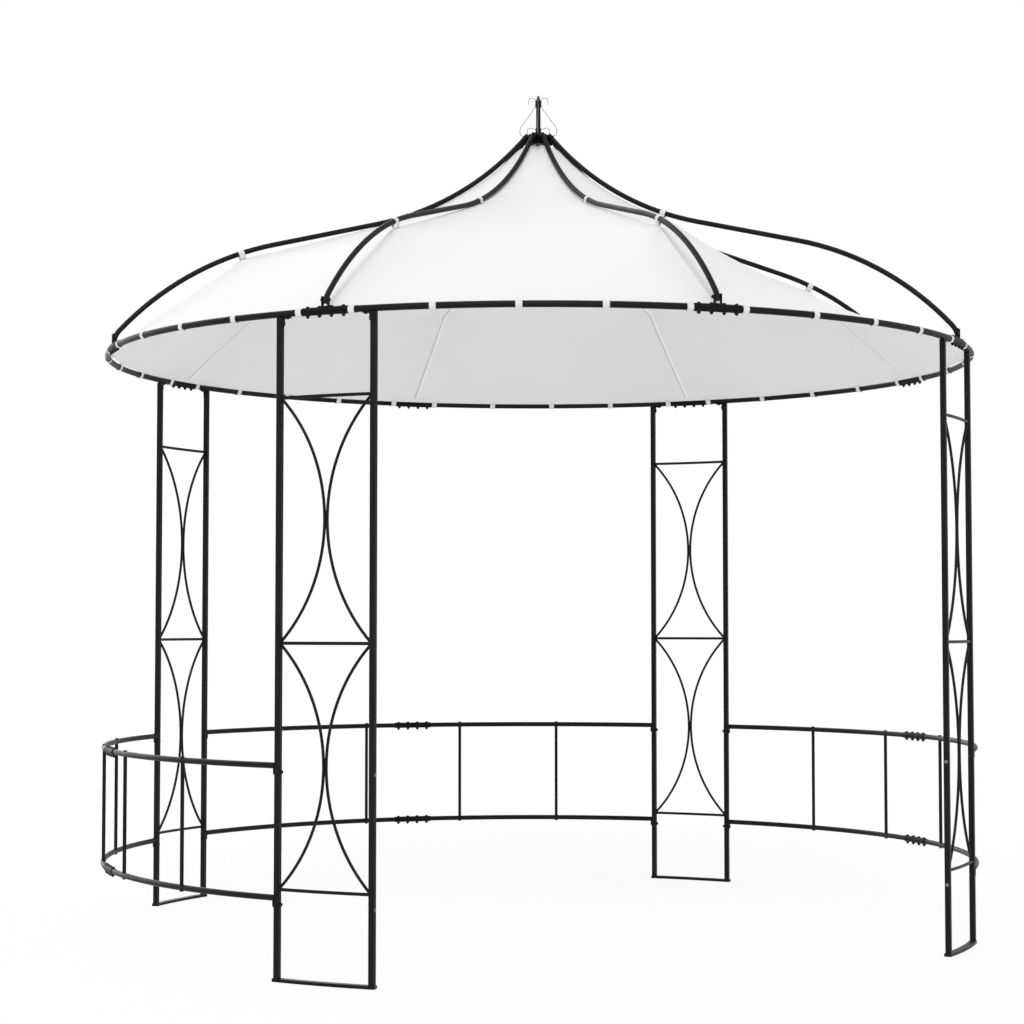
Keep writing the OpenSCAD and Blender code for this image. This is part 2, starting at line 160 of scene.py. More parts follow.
def seam_heights(index):
    """One seam's height over seam_radii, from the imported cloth's own points along it."""
    angles = np.arctan2(canopy_points[:, 1], canopy_points[:, 0])
    turned = (angles - index * EIGHTH + math.pi) % TURN - math.pi
    along = np.abs(turned * canopy_r) < ON_SEAM
    r, z = canopy_r[along], canopy_points[along, 2]
    order = np.argsort(r)
    r, z = r[order], z[order]
    groups = np.split(np.arange(len(r)), np.flatnonzero(np.diff(r) > ROW_GAP) + 1)
    return np.interp(seam_radii, [r[g].mean() for g in groups], [z[g].max() for g in groups])


seams = [seam_heights(i) for i in range(8)]


# ---- making meshes ----

class Piece:
    """Gathers closed shells into one mesh object."""

    def __init__(self, name, slot):
        self.name, self.slot = name, slot
        self.points, self.faces, self.uvs, self.count = [], [], [], 0

    def add(self, points, faces, matrix=None, uvs=None):
        """Adds a shell of points, and of arrays of faces with their corners' uvs."""
        points = np.asarray(points, float)
        if matrix is not None:
            turn = np.array(matrix)
            points = points @ turn[:3, :3].T + turn[:3, 3]
        uvs = uvs or [np.zeros((*np.shape(f), 2)) for f in faces]
        faces = [np.asarray(f) for f in faces]
        volume = 0
        for group in faces:
            corner = points[group]
            for k in range(1, group.shape[1] - 1):
                volume += np.einsum("ij,ij->", corner[:, 0], np.cross(corner[:, k], corner[:, k + 1]))
        if volume < 0:
            faces = [f[:, ::-1] for f in faces]
            uvs = [c[:, ::-1] for c in uvs]
        self.points.append(points)
        self.faces += [f + self.count for f in faces]
        self.uvs += uvs
        self.count += len(points)

    def make(self, material, sharp=35):
        mesh = bpy.data.meshes.new(self.name)
        faces = [face for group in self.faces for face in group.tolist()]
        mesh.from_pydata(np.concatenate(self.points).tolist(), [], faces)
        layer = mesh.uv_layers.new(name="UVMap")
        layer.data.foreach_set("uv", np.concatenate([c.ravel() for c in self.uvs]).astype(np.float32))
        mesh.shade_smooth()
        mesh.set_sharp_from_angle(angle=math.radians(sharp))
        mesh.materials.append(material)
        obj = bpy.data.objects.new(self.name, mesh)
        bpy.context.scene.collection.objects.link(obj)
        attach(obj, "root")
        return obj


def lathe(profile, segments=24):
    """A turned shell. The profile is (radius, height) or (radius, height, hex): hex 1 is a hexagon."""
    angles = np.arange(segments) * TURN / segments
    hexagon = math.cos(TURN / 12) / np.cos(angles % (TURN / 6) - TURN / 12)
    rows = []
    for radius, height, *shape in profile[1:-1]:
        share = shape[0] if shape else 0
        reach = radius * (1 - share + share * hexagon)
        level = np.full(segments, height)
        rows.append(np.stack([reach * np.cos(angles), reach * np.sin(angles), level], 1))
    last = len(rows) * segments
    points = np.concatenate(rows + [np.array([[0, 0, profile[0][1]], [0, 0, profile[-1][1]]])])
    j = np.arange(segments)
    k = (j + 1) % segments
    quads = [
        np.stack([i * segments + j, i * segments + k, (i + 1) * segments + k, (i + 1) * segments + j], 1)
        for i in range(len(rows) - 1)
    ]
    low = np.stack([k, j, np.full(segments, last)], 1)
    high = np.stack([last - segments + j, last - segments + k, np.full(segments, last + 1)], 1)
    return points, [np.concatenate(quads), low, high]


def shell(top, under, wrap, uv=None):
    """A closed skin from two grids of points. Wrap joins the last column to the first."""
    rows, cols = top.shape[:2]
    points = np.concatenate([top.reshape(-1, 3), under.reshape(-1, 3)])
    size = rows * cols
    i, j = np.meshgrid(np.arange(rows - 1), np.arange(cols if wrap else cols - 1), indexing="ij")
    i, j = i.ravel(), j.ravel()
    k = (j + 1) % cols
    upper = np.stack([i * cols + j, i * cols + k, (i + 1) * cols + k, (i + 1) * cols + j], 1)
    lower = upper[:, ::-1] + size
    edge = np.arange(cols if wrap else cols - 1)
    beyond = (edge + 1) % cols
    walls = [np.stack([beyond, edge, edge + size, beyond + size], 1)]
    far = (rows - 1) * cols
    walls.append(np.stack([far + edge, far + beyond, far + beyond + size, far + edge + size], 1))
    if not wrap:
        side = np.arange(rows - 1) * cols
        walls.append(np.stack([side, side + cols, side + cols + size, side + size], 1))
        side = side + cols - 1
        walls.append(np.stack([side + cols, side, side + size, side + cols + size], 1))
    faces = [upper, lower, *walls]
    if uv is None:
        return points, faces, None
    corners = uv if uv.ndim == 4 else uv.reshape(-1, 2)[upper]
    corners = corners.reshape(-1, 4, 2)
    both = [corners, corners[:, ::-1]]
    return points, faces, both + [np.zeros((*w.shape, 2)) for w in walls]


def ribbon(path, across, width, thickness, bulge=0.3):
    """Webbing along a path: a flat closed band whose edges are a little rounded."""
    path = np.asarray(path, float)
    along = np.gradient(path, axis=0)
    along /= np.linalg.norm(along, axis=1)[:, None]
    across = np.asarray(across, float)
    face = np.cross(across, along)
    steps = np.array([-1, -0.93, -0.5, 0, 0.5, 0.93, 1]) * width / 2
    half = thickness / 2 * np.array([bulge, 0.9, 1, 1, 1, 0.9, bulge])
    mid = path[:, None] + steps[None, :, None] * across
    lift = half[None, :, None] * face[:, None]
    length = np.concatenate([[0], np.cumsum(np.linalg.norm(np.diff(path, axis=0), axis=1))])
    uv = np.stack(np.broadcast_arrays(length[:, None], steps[None, :]), 2)
    return shell(mid + lift, mid - lift, False, uv)


def spin(angle):
    return Matrix.Rotation(angle, 4, "Z")


def stand(point, axis, turn=0.0):
    """The place of a turned part: its foot at point and its own Z along axis."""
    upright = Vector(axis).to_track_quat("Z", "Y").to_matrix().to_4x4()
    return Matrix.Translation(Vector(point)) @ upright @ spin(turn)


# ---- materials ----

class Shade:
    """A material's node tree."""

    def __init__(self, name):
        self.material = bpy.data.materials.new(name)
        self.material.use_nodes = True
        self.tree = self.material.node_tree
        self.tree.nodes.clear()

    def add(self, kind, sockets=None, **settings):
        """Adds a node. A socket's value is a number, a colour or another node's output."""
        new = self.tree.nodes.new("ShaderNode" + kind)
        for name, value in settings.items():
            setattr(new, name, value)
        for name, value in (sockets or {}).items():
            if isinstance(value, bpy.types.NodeSocket):
                self.tree.links.new(value, new.inputs[name])
            else:
                new.inputs[name].default_value = value
        return new

    def math(self, operation, a, b=0.0):
        return self.add("Math", {0: a, 1: b}, operation=operation).outputs[0]

    def noise(self, vector, scale, detail=2.0, rough=0.5):
        made = self.add("TexNoise", {"Vector": vector, "Scale": scale, "Detail": detail, "Roughness": rough})
        return made.outputs["Fac"]

    def span(self, value, low, high, to_low=0.0, to_high=1.0):
        """Maps low..high to to_low..to_high, clamped."""
        made = self.add("MapRange", {0: value, 1: low, 2: high, 3: to_low, 4: to_high})
        return made.outputs[0]

    def mix(self, share, a, b):
        made = self.add("Mix", {0: share}, data_type="RGBA")
        for place, value in ((6, a), (7, b)):
            if isinstance(value, bpy.types.NodeSocket):
                self.tree.links.new(value, made.inputs[place])
            else:
                made.inputs[place].default_value = value
        return made.outputs[2]

    def bump(self, height, strength, distance, normal=None):
        sockets = {"Height": height, "Strength": strength, "Distance": distance}
        if normal is not None:
            sockets["Normal"] = normal
        return self.add("Bump", sockets).outputs["Normal"]

    def finish(self, shader):
        self.add("OutputMaterial", {"Surface": shader})
        return self.material


def grey(value, tint=(1, 1, 1)):
    return (value * tint[0], value * tint[1], value * tint[2], 1)


def coated_steel(name, dark, light, rough, shine, worn, wire=None):
    """Powder coat: orange peel, cloudy gloss, and edges rubbed a little lighter.

    Wire is the tone of bare wires further from the upright axis than WIRES_BEYOND.
    """
    s = Shade(name)
    place = s.add("TexCoord").outputs["Object"]
    cloud = s.noise(place, 9, 3)
    peel = s.noise(place, 620, 2)
    speck = s.noise(place, 160, 4, 0.7)
    rounded = s.add("Bevel", {"Radius": 1.4 * MM}, samples=4).outputs["Normal"]
    true = s.add("NewGeometry").outputs["Normal"]
    turned = s.add("VectorMath", {0: rounded, 1: true}, operation="DOT_PRODUCT").outputs["Value"]
    edge = s.span(turned, 0.985, 0.86)
    rub = s.math("MULTIPLY", edge, s.span(speck, 0.42, 0.62))
    base = s.mix(s.span(cloud, 0.3, 0.7), grey(dark), grey(light, (1, 1, 1.03)))
    base = s.mix(s.math("MULTIPLY", rub, 0.7), base, grey(worn))
    if wire:
        flat = s.add("VectorMath", {0: place, 1: (1, 1, 0)}, operation="MULTIPLY").outputs[0]
        out = s.add("VectorMath", {0: flat}, operation="LENGTH").outputs["Value"]
        base = s.mix(s.span(out, WIRES_BEYOND, WIRES_BEYOND + MM), base, grey(wire))
    gloss = s.span(cloud, 0.3, 0.7, rough - 0.05, rough + 0.07)
    gloss = s.math("SUBTRACT", gloss, s.math("MULTIPLY", rub, 0.08))
    normal = s.bump(peel, 0.25, 0.12 * MM)
    normal = s.bump(speck, 0.12, 0.15 * MM, normal)
    shader = s.add("BsdfPrincipled", {
        "Base Color": base, "Roughness": gloss, "Specular IOR Level": shine, "Normal": normal,
    })
    return s.finish(shader.outputs[0])


WIRES_BEYOND = 10.3 * MM
frame_coat = coated_steel("frame_powder_coat", 0.006, 0.01, 0.42, 0.11, 0.04)
finial_coat = coated_steel("finial_powder_coat", 0.006, 0.01, 0.42, 0.11, 0.04, wire=0.2)
sleeve_coat = coated_steel("connector_powder_coat", 0.004, 0.007, 0.5, 0.08, 0.03)
bolt_coat = coated_steel("bolt_black_zinc", 0.005, 0.009, 0.36, 0.14, 0.06)
insert_coat = coated_steel("insert_zinc_plate", 0.14, 0.2, 0.34, 0.3, 0.3)


def woven(name, tone, warm, cool, thread, relief, clear, stitches=(), painted_shade_tone=None):
    """Plain-woven polyester, of one tone that drifts slowly from a warm to a cool tint.

    The uv map is in metres, along and across the threads. The last argument, if given, is
    the tone painted on the half where the second is above zero, as painted shade.
    """
    s = Shade(name)
    place = s.add("TexCoord")
    flat = s.add("SeparateXYZ", {0: place.outputs["UV"]})
    turns = TURN / thread
    warp = s.math("SINE", s.math("MULTIPLY", flat.outputs[0], turns))
    weft = s.math("SINE", s.math("MULTIPLY", flat.outputs[1], turns))
    cross = s.math("MULTIPLY", warp, weft)
    cloud = s.noise(place.outputs["Object"], 2.3, 3)
    fine = s.noise(place.outputs["Object"], 38, 3)
    stretched = s.add("Mapping", {"Vector": place.outputs["UV"], "Scale": (900, 40, 1)}).outputs[0]
    slub = s.noise(stretched, 1, 2)
    colour = s.mix(s.span(cloud, 0.35, 0.65), grey(tone, warm), grey(tone * 0.985, cool))
    colour = s.mix(s.span(cross, -1, 1, 0.0, 0.1), colour, grey(tone * 0.85, warm))
    colour = s.mix(s.span(fine, 0.55, 0.8, 0.0, 0.08), colour, grey(tone * 0.85, cool))
    # Painted shade: the half above zero across the strip gets the darker tone, which stands in for the
    # fold's shadow.
    if painted_shade_tone:
        colour = s.mix(s.span(flat.outputs[1], 0, 0.2 * MM), colour, grey(painted_shade_tone))
    height = s.math("ADD", s.math("MULTIPLY", cross, 0.5), s.math("MULTIPLY", slub, 0.8))
    normal = s.bump(height, relief, 0.25 * MM)
    for offset, pitch in stitches:
        near = s.math("ABSOLUTE", s.math("SUBTRACT", s.math("ABSOLUTE", flat.outputs[1]), offset))
        line = s.span(near, 0.3 * MM, 0.7 * MM, 1.0, 0.0)
        dash = s.math("SINE", s.math("MULTIPLY", flat.outputs[0], TURN / pitch))
        sewn = s.math("MULTIPLY", line, s.span(dash, -0.5, 0.0))
        colour = s.mix(s.math("MULTIPLY", line, 0.25), colour, grey(tone * 0.7))
        normal = s.bump(sewn, 0.6, 0.5 * MM, normal)
    rough = s.span(fine, 0.3, 0.7, 0.74, 0.86)
    solid = s.add("BsdfPrincipled", {
        "Base Color": colour, "Roughness": rough, "Specular IOR Level": 0.25,
        "Sheen Weight": 0.08, "Sheen Roughness": 0.5, "Normal": normal,
    })
    through = s.add("BsdfTranslucent", {"Color": colour, "Normal": normal})
    mixed = s.add("MixShader", {0: clear, 1: solid.outputs[0], 2: through.outputs[0]})
    return s.finish(mixed.outputs[0])


SEAM_HALF = 7 * MM
FOLD_HALF = 7 * MM
SEAM_STITCHES = ((5 * MM, 4 * MM),)
STRAP_STITCHES = ((8 * MM, 3 * MM),)
WHITE_WARM, WHITE_COOL = (1, 0.997, 0.99), (0.995, 1, 0.998)
COAT_WARM, COAT_COOL = (1, 0.975, 0.975), (0.98, 0.99, 0.982)
LILAC = (0.965, 0.965, 1.03)
THREAD = 0.9 * MM
outer_cloth = woven("canopy_polyester", 0.9, WHITE_WARM, WHITE_COOL, THREAD, 0.25, 0.1)
inner_cloth = woven("canopy_coated_side", 0.86, COAT_WARM, COAT_COOL, THREAD, 0.15, 0.1)
outer_tape = woven("seam_tape", 0.9, WHITE_WARM, WHITE_COOL, THREAD, 0.25, 0.05, SEAM_STITCHES)
# Painted light: the fold's white half is a painted highlight, brighter than the cloth's 0.9, and its 0.6
# half is painted shade.
inner_fold_painted_light = woven("seam_fold", 0.94, WHITE_WARM, WHITE_COOL, THREAD, 0.25, 0.02, painted_shade_tone=0.6)
webbing = woven("strap_webbing", 0.8, LILAC, LILAC, 1.6 * MM, 0.9, 0.05, STRAP_STITCHES)


# ---- canopy ----

GORE_SAG = 30 * MM
FLATTEN_POWER = 0.7
CLOTH_T = 1.2 * MM
HEM_T = 2.8 * MM
HEM_W = 25 * MM
UNDER_CAD_TOP = 2 * MM
KINK_SOFT = 60 * MM
# Creases and the peak at a rib strap: how high they rise and how far they reach.
CREASE_RISE = 3.6 * MM
CREASE_REACH = 120 * MM
CREASE_START = 30 * MM
PEAK_RISE = 5 * MM
PEAK_REACH = 45 * MM
SHOULDER_BEYOND = 0.8
UPPER_SHARE = 0.6
# The hem between two straps on the ring, and the puckers above each strap.
SCALLOP = 6 * MM
SCALLOP_GAP = 0.166
SCALLOP_REACH = 90 * MM
PUCKER = 1.3 * MM
PUCKER_WIDTH = 9 * MM
PUCKER_REACH = 28 * MM
PUCKER_HEIGHT = 60 * MM
PUCKER_START = 10 * MM
shoulder_r = rib_strap_radii(0)[1]
upper_r = rib_strap_radii(0)[0]
strap_grips = [(i, r) for i in range(8) for r in rib_strap_radii(i)]


def softened(heights):
    """A seam's heights with the kinks rounded, as the cloth has them between two ribs."""
    step = seam_radii[1] - seam_radii[0]
    reach = int(3 * KINK_SOFT / step)
    window = np.exp(-0.5 * (np.arange(-reach, reach + 1) * step / KINK_SOFT) ** 2)
    before = heights[0] - (heights[1] - heights[0]) * np.arange(reach, 0, -1)
    after = heights[-1] + (heights[-1] - heights[-2]) * np.arange(1, reach + 1)
    return np.convolve(np.concatenate([before, heights, after]), window / window.sum(), "valid")


soft_seams = [softened(h) for h in seams]
seam_run = np.concatenate([[0], np.cumsum(np.hypot(np.diff(seam_radii), np.diff(seams[0])))])
hem_run = seam_run[-1]
waves = [
    (rng.uniform(6, 22), rng.uniform(-2.5, 2.5), rng.uniform(0, TURN), rng.uniform(0.25, 0.7) * MM)
    for _ in range(9)
]


def run_of(r):
    """The distance along a seam from the top opening to a radius."""
    return np.interp(r, seam_radii, seam_run)


def cloth(r, angle):
    """Points of the cloth's middle surface. R is the radius along a seam, and angle goes round."""
    part = (angle / EIGHTH) % 8
    gore = np.floor(part).astype(int) % 8
    share = part - np.floor(part)
    u = 2 * share - 1
    belly = 1 - u ** 2
    tight = np.interp(r, [shoulder_r, hem_r], [1, 0]) ** FLATTEN_POWER
    flat = math.cos(EIGHTH / 2) / np.cos(EIGHTH / 2 * u)
    reach = r * (1 - tight * (1 - flat))
    height = np.zeros(np.shape(r))
    for i in range(8):
        for weight, index in ((1 - share, i), (share, (i + 1) % 8)):
            hard = np.interp(r, seam_radii, seams[index])
            soft = np.interp(r, seam_radii, soft_seams[index])
            height += np.where(gore == i, weight * (hard * (1 - belly) + soft * belly), 0)
    sag = GORE_SAG * np.sin(math.pi * (r - top_r) / (hem_r - top_r))
    height -= sag * belly + UNDER_CAD_TOP
    run = run_of(r)
    height += folds(run, reach * EIGHTH * (share - np.round(share)), gore + np.round(share))
    height += hem_folds(hem_run - run, angle)
    reach = reach - hem_scallop(hem_run - run, angle)
    return np.stack([reach * np.cos(angle), reach * np.sin(angle), height], -1)


def folds(run, aside, seam):
    """Creases that fan out from where the rib straps pull the cloth up, and slow waves."""
    lift = np.zeros(np.shape(run))
    for index, r in strap_grips:
        here = (seam.astype(int) % 8) == index
        along = run - run_of(r)
        away = np.hypot(aside, along)
        bearing = np.arctan2(along, np.abs(aside) + 1e-6)
        fan = np.cos(7 * bearing + index) + 0.6 * np.cos(11 * bearing - 2 * index)
        size = 1.0 if r > SHOULDER_BEYOND else UPPER_SHARE
        start = 1 - np.exp(-(away / CREASE_START) ** 2)
        crease = CREASE_RISE * size * fan * np.exp(-away / CREASE_REACH) * start
        peak = PEAK_RISE * size * np.exp(-away / PEAK_REACH)
        lift += np.where(here, crease + peak, 0)
    fade = np.clip((hem_run - run) / 0.1, 0, 1) * np.clip(run / 0.2, 0, 1)
    for across, along, phase, size in waves:
        lift += size * fade * np.cos(across * aside * 2 + along * run * 3 + phase + seam)
    return lift


def strap_gap(angle):
    """How far along the gap between two straps on the ring an angle is, and that gap."""
    straps = np.array([strap_angles[-1] - TURN, *strap_angles, strap_angles[0] + TURN])
    turned = np.mod(angle, TURN)
    k = np.clip(np.searchsorted(straps, turned) - 1, 0, len(straps) - 2)
    gap = straps[k + 1] - straps[k]
    return (turned - straps[k]) / gap, gap


def hem_scallop(up, angle):
    """Between two straps the hem draws back from the ring in a shallow arc."""
    share, gap = strap_gap(angle)
    deep = SCALLOP * (gap / SCALLOP_GAP) ** 2
    return deep * 4 * share * (1 - share) * np.exp(-up / SCALLOP_REACH)


def hem_folds(up, angle):
    """Small puckers above each strap on the ring."""
    share, gap = strap_gap(angle)
    aside = np.minimum(share, 1 - share) * gap * ring_r
    fade = np.exp(-aside / PUCKER_REACH) * np.exp(-up / PUCKER_HEIGHT)
    return PUCKER * np.cos(aside / PUCKER_WIDTH) * fade * np.clip(up / PUCKER_START, 0, 1)


def facing(r, angle):
    """The cloth's upward unit normal."""
    step_r, step_a = 1 * MM, 1 * MM / np.maximum(r, 0.05)
    inward = cloth(np.maximum(r - step_r, top_r), angle) - cloth(np.minimum(r + step_r, hem_r), angle)
    around = cloth(r, angle + step_a) - cloth(r, angle - step_a)
    normal = np.cross(around, inward)
    normal /= np.linalg.norm(normal, axis=-1)[..., None]
    return np.where(normal[..., 2:] < 0, -normal, normal)


def radii_at(runs):
    return np.interp(runs, seam_run, seam_radii)


COLS = 46
x = np.linspace(-1, 1, COLS + 1)
gore_u = 0.55 * np.sin(math.pi / 2 * x) + 0.45 * x
hem_rows = hem_run - np.array([0, 0.8, 4, 12, 20, 24.2, 25, 25.8, 32]) * MM
shoulder_run = float(run_of(shoulder_r))
upper_run = float(run_of(upper_r))
body_stops = [
    hem_run - 40 * MM, shoulder_run + 0.16, shoulder_run - 0.16,
    upper_run + 0.1, upper_run - 0.1, 0,
]
counts = [14, 26, 14, 14, 22]
body_rows = [np.linspace(a, b, n, endpoint=False) for a, b, n in zip(body_stops, body_stops[1:], counts)]
rows = np.concatenate([hem_rows, *body_rows, [0]])
row_r = radii_at(rows)
cell_angle = np.concatenate([EIGHTH * (g + 0.5 + gore_u[:-1] / 2) for g in range(8)])
grid_r, grid_a = np.meshgrid(row_r, cell_angle, indexing="ij")
mid_grid = cloth(grid_r, grid_a)
normals = facing(grid_r, grid_a)
thick = np.interp(hem_run - rows, [0, 1 * MM, 24.8 * MM, 25.4 * MM], [0.6, 1, 1, 0])
thick = CLOTH_T + (HEM_T - CLOTH_T) * thick
half = (thick / 2)[:, None, None] * normals

left_u, right_u = np.tile(gore_u[:-1], 8), np.tile(gore_u[1:], 8)
corner_u = np.stack([left_u, right_u, right_u, left_u], 1)[None]
corner_row = np.stack([np.arange(len(rows) - 1)] * 2 + [np.arange(1, len(rows))] * 2, 1)[:, None]
corner_uv = np.stack(np.broadcast_arrays(
    row_r[corner_row] * np.sin(EIGHTH / 2 * corner_u), rows[corner_row]), -1)

canopy = Piece("canopy_cloth", "canopy_fabric")
points, faces, uvs = shell(mid_grid + half, mid_grid - half, True, corner_uv)
canopy.add(points, faces, uvs=uvs)
canopy = canopy.make(outer_cloth, sharp=60)
canopy.data.materials.append(inner_cloth)
skin = len(faces[0])
in_skins = np.zeros(len(canopy.data.polygons), np.int32)
in_skins[skin:2 * skin] = 1
canopy.data.polygons.foreach_set("material_index", in_skins)


def seam_strip(piece, index, side, half, profile):
    """One seam's strip along the cloth. Side is 1 above, -1 below; the profile is its rise."""
    run = np.linspace(hem_run - HEM_W, 60 * MM, 110)
    r = radii_at(run)[:, None]
    half_w = np.minimum(half, r * EIGHTH * 0.12)
    steps = np.array([-1, -0.9, -0.45, 0, 0.45, 0.9, 1])
    rise = np.array(profile) * MM
    wide_r = np.broadcast_to(r, (len(run), len(steps)))
    angle = index * EIGHTH + steps * half_w / r
    mid = cloth(wide_r, angle)
    normal = facing(wide_r, angle) * side
    outer = mid + normal * (CLOTH_T / 2 + rise)[None, :, None]
    uv = np.stack(np.broadcast_arrays(run[:, None], steps * half_w), -1)
    points, faces, uvs = shell(outer, mid + normal * CLOTH_T * 0.2, False, uv)
    piece.add(points, faces, uvs=uvs)


# A flat stitched tape outside. Inside, the seam's allowance: one half white, painted a
# little brighter than the cloth as a painted highlight, and the other half dark grey as painted shade.
tapes = Piece("canopy_seam_tapes", "canopy_fabric")
seam_folds = Piece("canopy_seam_folds", "canopy_fabric")
for i in range(8):
    seam_strip(tapes, i, 1, SEAM_HALF, (0, 0.25, 0.35, 0.4, 0.35, 0.25, 0))
    seam_strip(seam_folds, i, -1, FOLD_HALF, (0, 0.8, 1.9, 2.3, 1.9, 0.8, 0))
tapes = tapes.make(outer_tape, sharp=50)
seam_folds = seam_folds.make(inner_fold_painted_light, sharp=50)


# ---- webbing straps ----

STRAP_W = 20 * MM
STRAP_T = 1.5 * MM
STRAP_PLAY = 0.3 * MM
SHORT_DROP = 20 * MM


def hem_slope(angle):
    """The hem's edge and the cloth's inward direction in the upright plane at an angle."""
    edge = cloth(np.array([hem_r]), np.array([angle]))[0]
    inner = cloth(radii_at(np.array([hem_run - 14 * MM])), np.array([angle]))[0]
    start = np.array([math.hypot(edge[0], edge[1]), edge[2]])
    end = np.array([math.hypot(inner[0], inner[1]), inner[2]])
    return start, (end - start) / np.linalg.norm(end - start)


def touch(point, radius, side):
    """Where a line from a point touches a circle round the origin, as an angle."""
    return math.atan2(point[1], point[0]) % TURN + side * math.acos(min(1, radius / np.linalg.norm(point)))


def ring_strap(piece, angle):
    """A loop round the ring tube, with its two ends sewn to both sides of the hem."""
    edge, inward = hem_slope(angle)
    above = np.array([-inward[1], inward[0]])
    above *= np.sign(above[1])
    seat = (HEM_T + STRAP_T) / 2 - 0.1 * MM
    loop_r = ring_tube / 2 + STRAP_PLAY + STRAP_T / 2
    upper = [edge + inward * d * MM + above * seat for d in (11, 8, 5, 2)]
    lower = [edge + inward * d * MM - above * seat for d in (2, 6, 10, 14)]
    tube = np.array([ring_r, ring_h])
    first = touch(upper[-1] - tube, loop_r, -1)
    last = touch(lower[0] - tube, loop_r, 1) - TURN
    turn = np.linspace(first, last, 40)
    slack = 1.2 * MM * np.clip(-np.sin(turn), 0, 1) ** 2
    loop = tube + (loop_r + slack)[:, None] * np.stack([np.cos(turn), np.sin(turn)], 1)
    route = np.concatenate([upper, loop, lower])
    out = np.array([math.cos(angle), math.sin(angle), 0])
    across = np.array([-math.sin(angle), math.cos(angle), 0])
    path = route[:, :1] * out + route[:, 1:] * np.array([0, 0, 1])
    points, faces, uvs = ribbon(path, across, STRAP_W, STRAP_T)
    piece.add(points, faces, uvs=uvs)


def rib_strap(piece, index, r):
    """A loop over a rib, whose two ends come down to the cloth's seam."""
    angle = index * EIGHTH
    slope = rib_slope(r)
    out = np.array([math.cos(angle), math.sin(angle), 0])
    aside = np.array([-math.sin(angle), math.cos(angle), 0])
    along = out * math.cos(slope) - np.array([0, 0, math.sin(slope)])
    lift = np.cross(along, aside)
    lift *= np.sign(lift[2])
    centre = out * r + np.array([0, 0, rib_height(r)])
    seam = cloth(np.array([r]), np.array([angle]))[0]
    drop = float((centre - seam) @ lift)
    loop_r = rib_d / 2 + STRAP_PLAY + STRAP_T / 2
    turn = np.radians(np.linspace(205, -25, 30))
    loop = np.stack([loop_r * np.cos(turn), loop_r * np.sin(turn)], 1)
    left = [(-7 * MM, -drop + 0.2 * MM), (-4 * MM, -drop + 1.4 * MM), (-3 * MM, -drop + 3.5 * MM)]
    if drop < SHORT_DROP:
        left = [(-9 * MM, -drop + 0.2 * MM), (-8.8 * MM, -drop + 2 * MM)]
    right = [(-a, b) for a, b in reversed(left)]
    route = np.concatenate([left, loop, right])
    path = centre + route[:, :1] * aside + route[:, 1:] * lift
    points, faces, uvs = ribbon(path, along, STRAP_W, STRAP_T)
    piece.add(points, faces, uvs=uvs)


ring_loops = Piece("ring_strap_loops", "strap_webbing")
for angle in strap_angles:
    ring_strap(ring_loops, angle)
ring_loops = ring_loops.make(webbing, sharp=50)

rib_loops = Piece("rib_strap_loops", "strap_webbing")
for index, r in strap_grips:
    rib_strap(rib_loops, index, r)
rib_loops = rib_loops.make(webbing, sharp=50)


# ---- fasteners ----

SEAT = 1.9 * MM
BUTTON_HEAD = [
    (0, -SEAT), (6.6 * MM, -SEAT), (6.6 * MM, 0.5 * MM), (6.2 * MM, 0.9 * MM), (5.4 * MM, 0.9 * MM),
    (5.2 * MM, 1.7 * MM), (4.6 * MM, 2.7 * MM), (3.6 * MM, 3.4 * MM), (2.7 * MM, 3.7 * MM),
    (2.4 * MM, 3.6 * MM, 1), (2.2 * MM, 1.9 * MM, 1), (0, 1.9 * MM),
]
NUT = [
    (0, -SEAT), (6.6 * MM, -SEAT), (6.6 * MM, 0.5 * MM), (6.2 * MM, 0.9 * MM), (5.6 * MM, 0.9 * MM, 1),
    (5.8 * MM, 1.4 * MM, 1), (5.8 * MM, 4.9 * MM, 1), (5.1 * MM, 5.5 * MM, 0.4), (3.1 * MM, 5.6 * MM),
    (3 * MM, 7.2 * MM), (2.5 * MM, 7.7 * MM), (0, 7.7 * MM),
]
INSERT = [
    (0, -SEAT), (5.5 * MM, -SEAT), (5.5 * MM, 0.9 * MM), (5.1 * MM, 1.3 * MM), (3.7 * MM, 1.3 * MM),
    (3.3 * MM, 0.9 * MM), (3.3 * MM, 0.35 * MM), (0, 0.35 * MM),
]
CAP_R = rib_d / 2 - 0.1 * MM
CAP = [
    (0, -SEAT), (CAP_R, -SEAT), (CAP_R, 0.5 * MM), (CAP_R - 0.7 * MM, 1.2 * MM),
    (CAP_R - 3 * MM, 1.7 * MM), (CAP_R - 6 * MM, 2 * MM), (0, 2 * MM),
]
head_mesh = lathe(BUTTON_HEAD)
nut_mesh = lathe(NUT)
insert_mesh = lathe(INSERT)
cap_mesh = lathe(CAP)


def fasten(piece, shape, angle, r, aside, h, axis):
    """Puts a head or nut at a place by angle, radius, distance aside and height."""
    matrix = spin(angle) @ stand((r, aside, h), axis, rng.uniform(0, TURN))
    piece.add(*shape, matrix=matrix)


SLEEVE_BOLTS = (-60 * MM, -20 * MM, 20 * MM, 60 * MM)


def sleeve_bolts(piece, sleeve_angle, h, outer):
    """Four bolts down through a sleeve: heads above, nuts below."""
    for offset in SLEEVE_BOLTS:
        angle = sleeve_angle + offset / ring_r
        fasten(piece, head_mesh, angle, ring_r, 0, h + outer / 2, UP)
        fasten(piece, nut_mesh, angle, ring_r, 0, h - outer / 2, DOWN)


ring_bolts = Piece("ring_sleeve_bolts", "connector_steel")
for i in range(8):
    sleeve_bolts(ring_bolts, i * EIGHTH, ring_h, ring_sleeve)
ring_bolts.make(bolt_coat)

rail_bolts = Piece("rail_sleeve_bolts", "connector_steel")
for bay_angle in (0, EIGHTH * 2, EIGHTH * 4):
    for h in rail_heights:
        sleeve_bolts(rail_bolts, bay_angle, h, rail_sleeve)
rail_bolts.make(bolt_coat)

